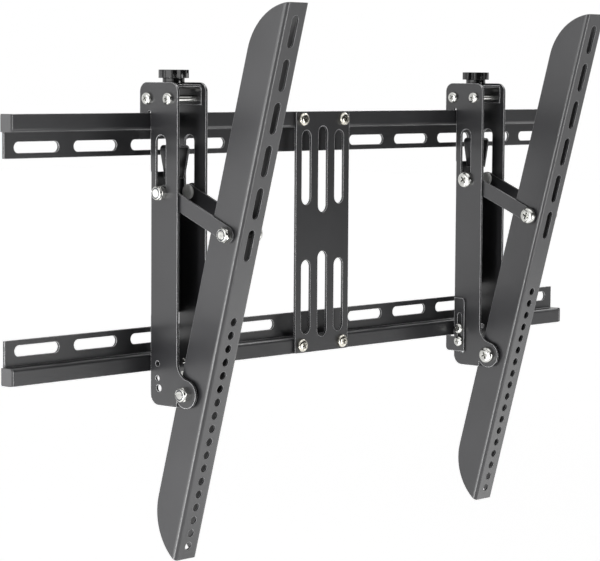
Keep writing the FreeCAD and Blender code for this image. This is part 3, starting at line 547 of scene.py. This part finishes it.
@dataclass
class PanScrew:
    """Pan-head screw along +Z: the head stands on Z = 0 and the shank hangs down."""

    shank_mm: float
    head_mm: float
    rise_mm: float
    reach_mm: float
    driven: bool = True
    wall_share: float = 0.4
    crown_share: float = 0.5
    dome_steps: int = 5
    tip_mm: float = 0.5
    recess_long: float = 0.62
    recess_thick: float = 0.13
    recess_deep: float = 0.6
    recess_taper: float = 0.45

    def build(self, material: bpy.types.Material) -> bpy.types.Object:
        """Model the screw, with a cross recess if it is driven.

        Args:
            material: Its finish.

        Returns:
            A template object, for stamp to copy.
        """
        radius = self.head_mm / 2 * MM
        rise = self.rise_mm * MM
        wall = rise * self.wall_share
        screw = cylinder("pan_screw", radius, 0.0, wall, RING_SIDES)
        bpy.ops.object.mode_set(mode="EDIT")
        height = wall
        reach_in = 0.0
        for step in range(1, self.dome_steps + 1):
            angle = math.pi / 2 * step / self.dome_steps
            next_height = wall + (rise - wall) * math.sin(angle)
            next_in = radius * self.crown_share * (1 - math.cos(angle))
            pick_faces(screw, height, 1)
            bpy.ops.mesh.inset(thickness=next_in - reach_in, depth=next_height - height)
            height, reach_in = next_height, next_in
        pick_faces(screw, 0.0, -1)
        bpy.ops.mesh.inset(thickness=(self.head_mm - self.shank_mm) / 2 * MM, depth=0.0)
        shank = (self.reach_mm - self.tip_mm) * MM
        bpy.ops.mesh.extrude_region_move(TRANSFORM_OT_translate={"value": (0, 0, -shank)})
        bpy.ops.mesh.inset(thickness=self.tip_mm * MM, depth=self.tip_mm * MM)
        bpy.ops.object.mode_set(mode="OBJECT")
        if self.driven:
            boolean(screw, self.recess(height), "DIFFERENCE")
        smooth(screw)
        paint(screw, material)
        return screw

    def recess(self, top: float) -> bpy.types.Object:
        """Make the cutter for the cross recess: two tapered blades.

        Args:
            top: Height of the head's crown.

        Returns:
            The cutter.
        """
        blades = []
        long, thick = self.head_mm * self.recess_long * MM, self.head_mm * self.recess_thick * MM
        depth = self.rise_mm * self.recess_deep * MM
        for turn in (0.0, math.pi / 2):
            bpy.ops.object.select_all(action="DESELECT")
            bpy.ops.mesh.primitive_cube_add(size=1.0, location=(0, 0, top))
            blade = bpy.context.object
            blade.scale = (long, thick, depth * 2)
            blade.rotation_euler = (0, 0, turn)
            bpy.ops.object.transform_apply(location=True, rotation=True, scale=True)
            for vertex in blade.data.vertices:
                if vertex.co.z < top:
                    vertex.co.x *= self.recess_taper
                    vertex.co.y *= self.recess_taper
            blades.append(blade)
        boolean(blades[0], blades[1], "UNION")
        return blades[0]


@dataclass
class HexNut:
    """Hexagon nut along +Z from Z = 0, with turned-off corners."""

    flats_mm: float
    rise_mm: float
    bore_mm: float
    corner_share: float = 0.995
    chamfer_share: float = 0.1
    chamfer_below_mm: float = 0.4
    chamfer_above_mm: float = 0.05

    def build(self, finishes: Finishes) -> bpy.types.Object:
        """Model the nut.

        Args:
            finishes: The mount's materials.

        Returns:
            A template object.
        """
        corner = self.flats_mm / math.sqrt(3)
        top = self.rise_mm * MM
        prism = cylinder("nut", corner * MM, 0.0, top, 6)
        round_off = cylinder("nut_chamfer", corner * self.corner_share * MM, -self.chamfer_below_mm * MM,
                             top + self.chamfer_above_mm * MM, ROUND_SIDES)
        soften(round_off, self.flats_mm * self.chamfer_share)
        boolean(prism, round_off, "INTERSECT")
        boolean(prism, cylinder("bore", self.bore_mm / 2 * MM, -MM, top + MM, BORE_SIDES), "DIFFERENCE")
        smooth(prism, 20.0)
        paint(prism, finishes.zinc)
        return prism


@dataclass
class LockNut(HexNut):
    """Hexagon lock nut along +Z from Z = 0: a round collar above the hexagon holds a nylon ring."""

    flats_mm: float = 13.0
    rise_mm: float = 5.6
    bore_mm: float = 8.1
    collar_mm: float = 12.9
    collar_rise_mm: float = 2.4
    collar_root_mm: float = 2.2
    collar_rim_mm: float = 1.7
    nylon_mm: float = 10.2
    nylon_sink_mm: float = 0.45
    nylon_rim_mm: float = 0.3

    def build(self, finishes: Finishes) -> bpy.types.Object:
        """Model the hexagon, the collar and the nylon ring.

        Args:
            finishes: The mount's materials.

        Returns:
            A template object.
        """
        hexagon = super().build(finishes)
        crown = (self.rise_mm + self.collar_rise_mm) * MM
        root = (self.rise_mm - self.collar_root_mm) * MM
        collar = self.ring("collar", self.collar_mm, self.nylon_mm, root, crown, self.collar_rim_mm)
        paint(collar, finishes.zinc)
        sunk = crown - self.nylon_sink_mm * MM
        nylon = self.ring("nylon", self.nylon_mm, self.bore_mm, self.rise_mm * MM, sunk, self.nylon_rim_mm)
        paint(nylon, finishes.nylon)
        return join("lock_nut", [hexagon, collar, nylon])

    def ring(self, name: str, outer_mm: float, inner_mm: float, low: float, high: float,
             rim_mm: float) -> bpy.types.Object:
        """Make a ring with soft rims.

        Args:
            name: Name of the object.
            outer_mm: Outer diameter.
            inner_mm: Diameter of its hole.
            low: Height of its foot in metres.
            high: Height of its top in metres.
            rim_mm: Width of the soft rim.

        Returns:
            The ring.
        """
        ring = cylinder(name, outer_mm / 2 * MM, low, high, RING_SIDES)
        soften(ring, rim_mm)
        boolean(ring, cylinder("hole", inner_mm / 2 * MM, low - MM, high + MM, RING_SIDES), "DIFFERENCE")
        smooth(ring)
        return ring


@dataclass
class HandKnob:
    """Moulded six-lobe knob on a round hub, along +Z from Z = 0, with a dished top."""

    hub_mm: float = 20.8
    hub_rise_mm: float = 5.6
    width_mm: float = 28.4
    rise_mm: float = 7.8
    lobes: int = 6
    waist_mm: float = 3.0
    waist_power: float = 1.5
    dish: tuple[tuple[float, float], ...] = ((0.7, 0.0), (0.86, -1.1))
    rim_mm: float = 1.2
    hub_rim_mm: float = 0.6
    hub_overlap_mm: float = 0.2
    crease_deg: float = 40.0
    sides: int = 120

    def build(self, finishes: Finishes) -> bpy.types.Object:
        """Model the knob.

        Args:
            finishes: The mount's materials.

        Returns:
            The knob at the origin.
        """
        hub_top = self.hub_rise_mm * MM
        top = hub_top + self.rise_mm * MM
        knob = cylinder("knob", self.width_mm / 2 * MM, hub_top, top, self.sides)
        for vertex in knob.data.vertices:
            angle = math.atan2(vertex.co.y, vertex.co.x)
            dip = max(0.0, math.cos(angle * self.lobes)) ** self.waist_power * self.waist_mm * MM
            scale = 1 - dip / (self.width_mm / 2 * MM)
            vertex.co.x *= scale
            vertex.co.y *= scale
        bpy.ops.object.mode_set(mode="EDIT")
        pick_faces(knob, top, 1)
        for shrink, drop_mm in self.dish:
            bpy.ops.mesh.extrude_region_move(TRANSFORM_OT_translate={"value": (0, 0, drop_mm * MM)})
            bpy.ops.transform.resize(value=(shrink, shrink, 1.0))
        bpy.ops.object.mode_set(mode="OBJECT")
        soften(knob, self.rim_mm, self.crease_deg)
        hub = cylinder("hub", self.hub_mm / 2 * MM, 0.0, hub_top + self.hub_overlap_mm * MM, ROUND_SIDES)
        soften(hub, self.hub_rim_mm)
        piece = join("knob", [knob, hub])
        smooth(piece, self.crease_deg)
        paint(piece, finishes.knob)
        return piece


@dataclass
class WallFrame:
    """Both rails, the centre plate with its screws, and the rail end caps."""

    screw_x_mm: float = 30.3
    screw_z_mm: float = 113.0
    plate_face_mm: float = -16.5
    body: str = "wall_frame"

    def dress(self, finishes: Finishes) -> None:
        """Finish the frame's sheet metal and make its fasteners.

        Args:
            finishes: The mount's materials.
        """
        for node in ("upper_rail", "lower_rail", "centre_plate"):
            paint_node(node, finishes.coat)
        for level in ("upper", "lower"):
            for side in Side:
                paint_node(f"{level}_{side.word}_end_cap", finishes.cap)
        paint_node("centre_plate_nuts", finishes.zinc)
        screw = PanScrew(shank_mm=6.0, head_mm=13.0, rise_mm=4.6, reach_mm=10.4).build(finishes.warm_zinc)
        places = []
        for index, (x, z) in enumerate(((-1, -1), (-1, 1), (1, -1), (1, 1))):
            where = Vector((x * self.screw_x_mm, self.plate_face_mm, z * self.screw_z_mm))
            places.append(aim(where, Vector((0, -1, 0)), 23 + 37 * index))
        piece = stamp("frame_screws", screw, places)
        fit(piece, self.body, "centre_plate_screws")
        bpy.data.objects.remove(screw, do_unlink=True)


@dataclass
class Hanger:
    """One hook-on bracket with its bridge, arm, links, knob, latch and fasteners."""

    side: Side
    centre_mm: float
    half_width_mm: float = 20.0
    plate_sheet_mm: float = 2.5
    slide_gap_mm: float = 0.3
    link_inside_mm: float = 15.2
    link_outside_mm: float = 17.5
    rod_y_mm: tuple[float, float] = (-38.6, -11.0)
    rod_z_mm: float = 134.3
    pivot_mm: tuple[float, float] = (-60.9, -139.2)
    link_mm: tuple[float, float] = (-111.099, 11.596)
    slot_bolt_mm: tuple[float, float] = (-29.6, 46.8)
    bolt_mm: float = 8.0
    bolt_head_mm: tuple[float, float] = (17.0, 6.0)
    bolt_disc_mm: tuple[float, float] = (14.0, 2.4)
    latch_screw_y_mm: float = -24.4
    latch_screw_z_mm: tuple[float, float] = (-127.1, -113.4)
    latch_seat_mm: float = 22.6
    knob_y_mm: float = -24.8
    knob_z_mm: float = 147.8

    @property
    def outward(self) -> int:
        """Direction along X from the middle of the wall to this side's end."""
        return self.side.value

    def node(self, word: str) -> str:
        """Name of one of this side's nodes or bodies."""
        return f"{self.side.word}_{word}"

    def at(self, along: float, y: float, z: float) -> Vector:
        """Point at a distance along X from the hanger's middle."""
        return Vector((self.centre_mm + along, y, z))

    def dress(self, finishes: Finishes) -> None:
        """Finish the sheet metal, and make the fasteners and the knob.

        Args:
            finishes: The mount's materials.
        """
        for word in ("bracket", "bridge", "tilt_carriage", "latch_plate"):
            paint_node(self.node(word), finishes.coat)
        for word in ("arm", "link_a", "link_b"):
            paint_node(self.node(word), finishes.arm_coat)
        for word in ("spacer_rods", "pivot_spacers", "stem_nut"):
            paint_node(self.node(word), finishes.zinc)
        paint_node(self.node("adjusting_screw"), finishes.thread)
        self.make_bridge_screws(finishes)
        self.make_latch_screws(finishes)
        self.make_bolts(finishes)
        self.make_nuts(finishes)
        self.make_knob(finishes)

    def make_bridge_screws(self, finishes: Finishes) -> None:
        """Make the screws into the spacer rods, two on each side plate."""
        screw = PanScrew(shank_mm=4.0, head_mm=11.5, rise_mm=4.2, reach_mm=12.5).build(finishes.zinc)
        places = []
        for index, y in enumerate(self.rod_y_mm):
            for hand in (-1, 1):
                where = self.at(hand * self.half_width_mm, y, self.rod_z_mm)
                places.append(aim(where, Vector((hand, 0, 0)), 15 + 40 * index + 25 * hand))
        piece = stamp(self.node("rod_screws"), screw, places)
        fit(piece, self.node("hanger"), self.node("bridge_screws"))
        bpy.data.objects.remove(screw, do_unlink=True)

    def make_latch_screws(self, finishes: Finishes) -> None:
        """Make the two screws that guide the latch plate, and the nut inside on the lower one."""
        screw = PanScrew(shank_mm=5.0, head_mm=10.8, rise_mm=3.8, reach_mm=8.7).build(finishes.zinc)
        nut = HexNut(flats_mm=8.0, rise_mm=3.2, bore_mm=5.1).build(finishes)
        inward = -self.outward
        places = []
        for index, z in enumerate(self.latch_screw_z_mm):
            where = self.at(inward * self.latch_seat_mm, self.latch_screw_y_mm, z)
            places.append(aim(where, Vector((inward, 0, 0)), 10 + 50 * index))
        inside = inward * (self.half_width_mm - self.plate_sheet_mm)
        where = self.at(inside, self.latch_screw_y_mm, self.latch_screw_z_mm[0])
        nuts = stamp("nuts", nut, [aim(where, Vector((self.outward, 0, 0)), 0)])
        piece = join(self.node("guide_screws"), [stamp("screws", screw, places), nuts])
        fit(piece, self.node("hanger"), self.node("latch_screws"))
        for template in (screw, nut):
            bpy.data.objects.remove(template, do_unlink=True)

    def make_bolts(self, finishes: Finishes) -> None:
        """Make the pivot bolt, the link bolt and the slot bolts, all with their heads inwards."""
        inward = -self.outward
        direction = Vector((inward, 0, 0))
        seat = self.half_width_mm + self.slide_gap_mm
        pivot = PanScrew(self.bolt_mm, *self.bolt_head_mm, reach_mm=48.4).build(finishes.zinc)
        place = aim(self.at(inward * self.half_width_mm, *self.pivot_mm), direction, 20)
        piece = stamp(self.node("pivot_screw"), pivot, [place])
        fit(piece, self.node("hanger"), self.node("pivot_bolt"))
        link = PanScrew(self.bolt_mm, *self.bolt_head_mm, reach_mm=43.4).build(finishes.zinc)
        place = aim(self.at(inward * self.link_outside_mm, *self.link_mm), direction, 65)
        piece = stamp(self.node("link_screw"), link, [place])
        fit(piece, self.node("tilting_arm"), self.node("link_bolt"))
        inner = PanScrew(self.bolt_mm, *self.bolt_head_mm, reach_mm=6.5).build(finishes.zinc)
        outer = PanScrew(self.bolt_mm, *self.bolt_disc_mm, reach_mm=13.5, driven=False)
        outer = outer.build(finishes.satin_zinc)
        heads = stamp("head", inner, [aim(self.at(inward * seat, *self.slot_bolt_mm), direction, 35)])
        place = aim(self.at(self.outward * self.link_inside_mm, *self.slot_bolt_mm), direction, 0)
        piece = join(self.node("slot_screws"), [heads, stamp("end", outer, [place])])
        fit(piece, self.node("links"), self.node("slot_bolts"))
        for template in (pivot, link, inner, outer):
            bpy.data.objects.remove(template, do_unlink=True)

    def make_nuts(self, finishes: Finishes) -> None:
        """Make the lock nuts outside on the pivot, link and slot bolts, and the inner slot disc."""
        direction = Vector((self.outward, 0, 0))
        seat = self.half_width_mm + self.slide_gap_mm
        nut = LockNut().build(finishes)
        disc = PanScrew(self.bolt_mm, *self.bolt_disc_mm, reach_mm=0.8, driven=False)
        disc = disc.build(finishes.satin_zinc)
        place = aim(self.at(self.outward * self.half_width_mm, *self.pivot_mm), direction, 12)
        piece = stamp(self.node("pivot_lock_nut"), nut, [place])
        fit(piece, self.node("hanger"), self.node("pivot_nut"))
        place = aim(self.at(self.outward * self.link_outside_mm, *self.link_mm), direction, 40)
        piece = stamp(self.node("link_lock_nut"), nut, [place])
        fit(piece, self.node("tilting_arm"), self.node("link_nut"))
        outer = stamp("outer", nut, [aim(self.at(self.outward * seat, *self.slot_bolt_mm), direction, 4)])
        place = aim(self.at(-self.outward * self.link_inside_mm, *self.slot_bolt_mm), direction, 0)
        piece = join(self.node("slot_lock_nuts"), [outer, stamp("inner", disc, [place])])
        fit(piece, self.node("links"), self.node("slot_nuts"))
        for template in (nut, disc):
            bpy.data.objects.remove(template, do_unlink=True)

    def make_knob(self, finishes: Finishes) -> None:
        """Make the hand knob."""
        template = HandKnob().build(finishes)
        place = aim(self.at(0.0, self.knob_y_mm, self.knob_z_mm), Vector((0, 0, 1)), 8 + 9 * self.outward)
        piece = stamp(self.node("lobed_knob"), template, [place])
        fit(piece, self.node("hand_knob"), self.node("knob"))
        bpy.data.objects.remove(template, do_unlink=True)


@dataclass
class Softbox:
    """A rectangular studio lamp that looks at the mount."""

    name: str
    place_m: tuple[float, float, float]
    size_m: tuple[float, float]
    watts: float
    target_m: tuple[float, float, float] = (0.0, -0.06, 0.0)

    def build(self) -> None:
        """Add the lamp to the scene."""
        data = bpy.data.lights.new(self.name, "AREA")
        data.shape = "RECTANGLE"
        data.size, data.size_y = self.size_m
        data.energy = self.watts
        lamp = bpy.data.objects.new(self.name, data)
        lamp.location = self.place_m
        look = Vector(self.target_m) - Vector(self.place_m)
        lamp.rotation_euler = look.to_track_quat("-Z", "Y").to_euler()
        lamp.visible_camera = False
        bpy.context.scene.collection.objects.link(lamp)


@dataclass
class Studio:
    """Pale floor, white surroundings, soft lamps and the camera at the photograph's angle."""

    floor_m: float = -1.5
    floor_size_m: float = 60.0
    floor_lift: float = 0.68
    flag_place_m: tuple[float, float, float] = (2.0, -6.5, 1.8)
    flag_size_m: tuple[float, float] = (18.0, 6.4)
    ambient: float = 0.32
    focal_px: float = 2421.62
    camera_mm: tuple[float, float, float] = (-1826.74, -1631.37, 156.19)
    heading_deg: float = 48.0
    pitch_deg: float = 4.83
    roll_deg: float = 0.39
    clip_m: tuple[float, float] = (0.05, 100.0)

    def build(self) -> None:
        """Set the stage."""
        self.build_world()
        self.build_floor()
        self.build_flag()
        for lamp in (
            Softbox("left_softbox", (-1.6, 0.1, -0.35), (1.8, 2.2), 28.0),
            Softbox("left_strip", (-2.0, -0.5, -0.9), (0.25, 1.2), 22.0),
            Softbox("far_softbox", (5.94, -5.35, -0.92), (3.0, 0.5), 4.5),
            Softbox("low_softbox", (1.7, -1.15, -1.15), (0.9, 0.6), 2.5),
            Softbox("front_softbox", (0.6, -2.3, -0.5), (0.8, 1.3), 24.0),
            Softbox("top_softbox", (-0.3, -0.6, 2.2), (2.0, 1.4), 8.0),
            Softbox("fold_softbox", (2.2, -0.25, 2.0), (0.8, 0.9), 20.0),
        ):
            lamp.build()
        self.build_camera()
        bpy.context.scene.view_settings.view_transform = "Standard"

    def seen_rays(self, tree: bpy.types.NodeTree) -> bpy.types.NodeSocket:
        """Factor that is 1 for camera, mirror and glass rays."""
        rays = add_node(tree, "ShaderNodeLightPath")
        first = add_node(tree, "ShaderNodeMath", operation="MAXIMUM",
                         links={0: rays.outputs["Is Camera Ray"], 1: rays.outputs["Is Glossy Ray"]})
        second = add_node(tree, "ShaderNodeMath", operation="MAXIMUM",
                          links={0: first.outputs[0], 1: rays.outputs["Is Transmission Ray"]})
        return second.outputs[0]

    def build_world(self) -> None:
        """White surroundings that light the mount at a plain level."""
        world = bpy.data.worlds.new("studio_white")
        bpy.context.scene.world = world
        world.use_nodes = True
        tree = world.node_tree
        background = tree.nodes["Background"]
        background.inputs["Color"].default_value = linear("#ffffff")
        strength = add_node(tree, "ShaderNodeMapRange", {"To Min": self.ambient, "To Max": 1.0},
                            {"Value": self.seen_rays(tree)})
        tree.links.new(strength.outputs["Result"], background.inputs["Strength"])

    def build_floor(self) -> None:
        """Plain pale floor, far below the mount."""
        bpy.ops.object.select_all(action="DESELECT")
        bpy.ops.mesh.primitive_plane_add(size=self.floor_size_m, location=(0, 0, self.floor_m))
        floor = bpy.context.object
        floor.name = "studio_floor"
        material = bpy.data.materials.new("pale_studio_floor")
        material.use_nodes = True
        tree = material.node_tree
        shader = tree.nodes["Principled BSDF"]
        shader.inputs["Base Color"].default_value = linear("#f2f2f2")
        shader.inputs["Roughness"].default_value = 0.9
        lift = add_node(tree, "ShaderNodeMapRange", {"To Min": 0.0, "To Max": self.floor_lift},
                        {"Value": self.seen_rays(tree)})
        glow = add_node(tree, "ShaderNodeEmission", {"Color": linear("#ffffff")},
                        {"Strength": lift.outputs["Result"]})
        both = add_node(tree, "ShaderNodeAddShader", links={0: shader.outputs[0], 1: glow.outputs[0]})
        tree.links.new(both.outputs[0], tree.nodes["Material Output"].inputs["Surface"])
        paint(floor, material)

    def build_flag(self) -> None:
        """Dark cloth flag far in front, out of the picture: bright metal mirrors it as dark patches."""
        bpy.ops.object.select_all(action="DESELECT")
        bpy.ops.mesh.primitive_plane_add(size=1.0)
        flag = bpy.context.object
        flag.name = "studio_flag"
        stand = Matrix.Translation(self.flag_place_m) @ Matrix.Rotation(math.pi / 2, 4, "X")
        flag.data.transform(stand @ Matrix.Diagonal((*self.flag_size_m, 1.0, 1.0)))
        flag.visible_camera = False
        material = bpy.data.materials.new("black_flag_cloth")
        material.use_nodes = True
        shader = material.node_tree.nodes["Principled BSDF"]
        shader.inputs["Base Color"].default_value = linear("#1c1c1c")
        shader.inputs["Roughness"].default_value = 0.95
        paint(flag, material)

    def build_camera(self) -> None:
        """Camera at the photograph's place and angle."""
        heading, pitch, roll = (math.radians(a) for a in (self.heading_deg, self.pitch_deg, self.roll_deg))
        forward = Vector((math.sin(heading) * math.cos(pitch), math.cos(heading) * math.cos(pitch),
                          -math.sin(pitch)))
        level = Vector((math.cos(heading), -math.sin(heading), 0))
        upright = level.cross(forward)
        right = math.cos(roll) * level + math.sin(roll) * upright
        up = -math.sin(roll) * level + math.cos(roll) * upright
        data = bpy.data.cameras.new("photo_camera")
        data.sensor_fit = "HORIZONTAL"
        data.sensor_width = SENSOR_MM
        data.lens = self.focal_px * SENSOR_MM / IMAGE_WIDTH_PX
        data.clip_start, data.clip_end = self.clip_m
        camera = bpy.data.objects.new("photo_camera", data)
        axes = Matrix((right, up, -forward)).transposed().to_4x4()
        camera.matrix_world = Matrix.Translation(Vector(self.camera_mm) * MM) @ axes
        bpy.context.scene.collection.objects.link(camera)
        bpy.context.scene.camera = camera


def main() -> None:
    """Build the finishes, the sub-assemblies and the studio."""
    finishes = Finishes()
    WallFrame().dress(finishes)
    Hanger(Side.LEFT, -220.7).dress(finishes)
    Hanger(Side.RIGHT, 237.3).dress(finishes)
    Studio().build()


if __name__ == "__main__":
    main()
